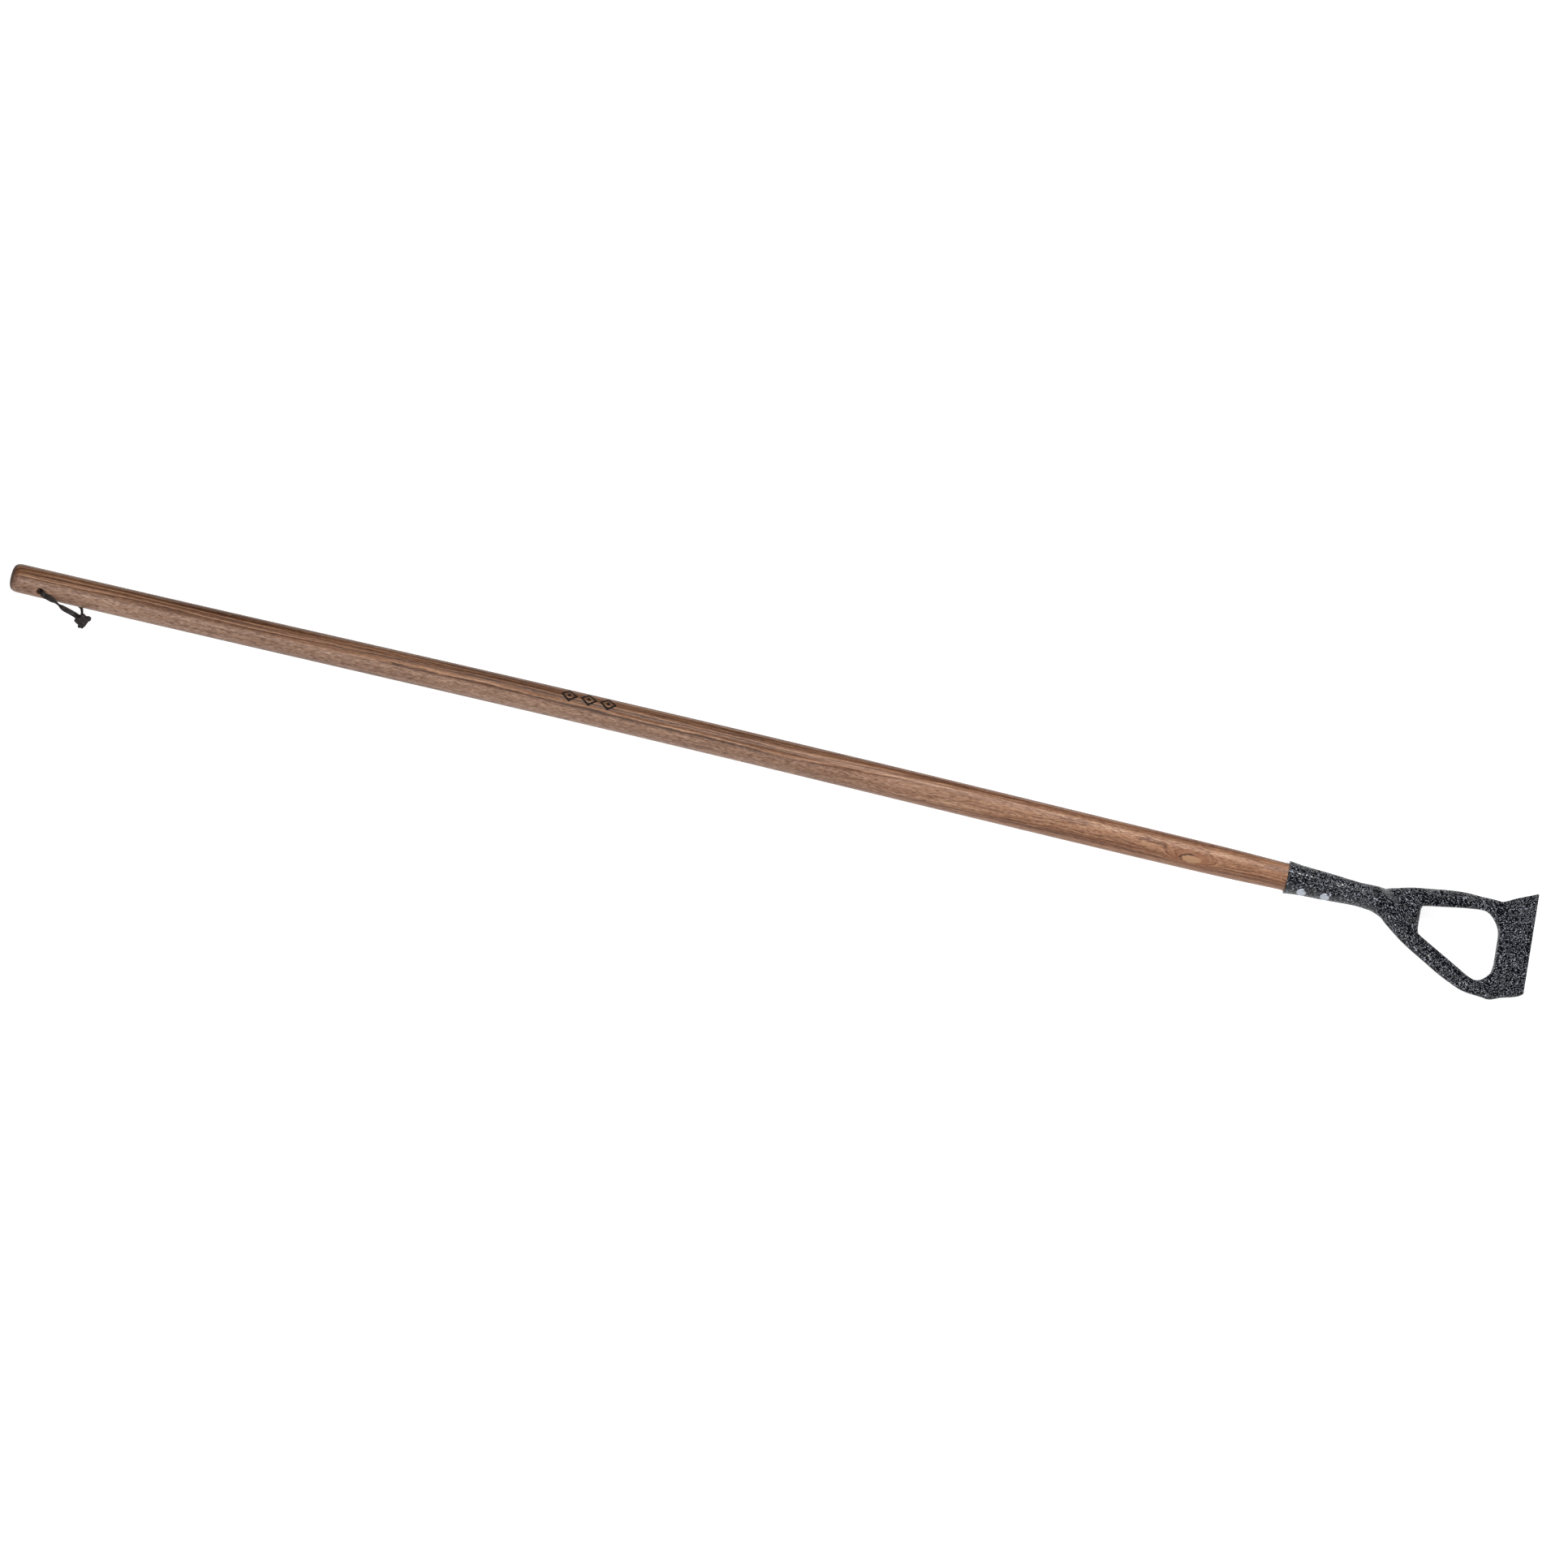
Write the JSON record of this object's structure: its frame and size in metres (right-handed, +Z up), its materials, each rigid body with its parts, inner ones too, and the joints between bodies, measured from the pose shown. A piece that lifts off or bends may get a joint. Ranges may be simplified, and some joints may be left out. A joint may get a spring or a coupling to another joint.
{
  "type": "dutch hoe",
  "caption": "Long-handled push hoe: ash handle with a leather hanging lace, riveted steel socket, open D-shaped yoke and flat angled blade.",
  "frame": {"origin": "centre of the footprint on the ground, as the hoe lies on its heel and butt, lace left out", "axes": "+X along the handle towards the blade, +Z up, Y across the blade"},
  "size_m": [1.5344, 0.132, 0.0526],
  "materials": {
    "ash_wood": "stained and oiled, open grain",
    "hammered_paint": "dark hammered paint, semi-gloss",
    "rivet_metal": "bright, lightly brushed",
    "lace_leather": "dark waxed leather lace"
  },
  "bodies": {
    "root": {"handle": "ash_wood", "socket": "hammered_paint", "yoke": "hammered_paint", "blade": "hammered_paint", "rivet_1": "rivet_metal", "rivet_2": "rivet_metal", "lace_front": "lace_leather", "lace_back": "lace_leather", "lace_knot": "lace_leather"}
  },
  "joints": []
}
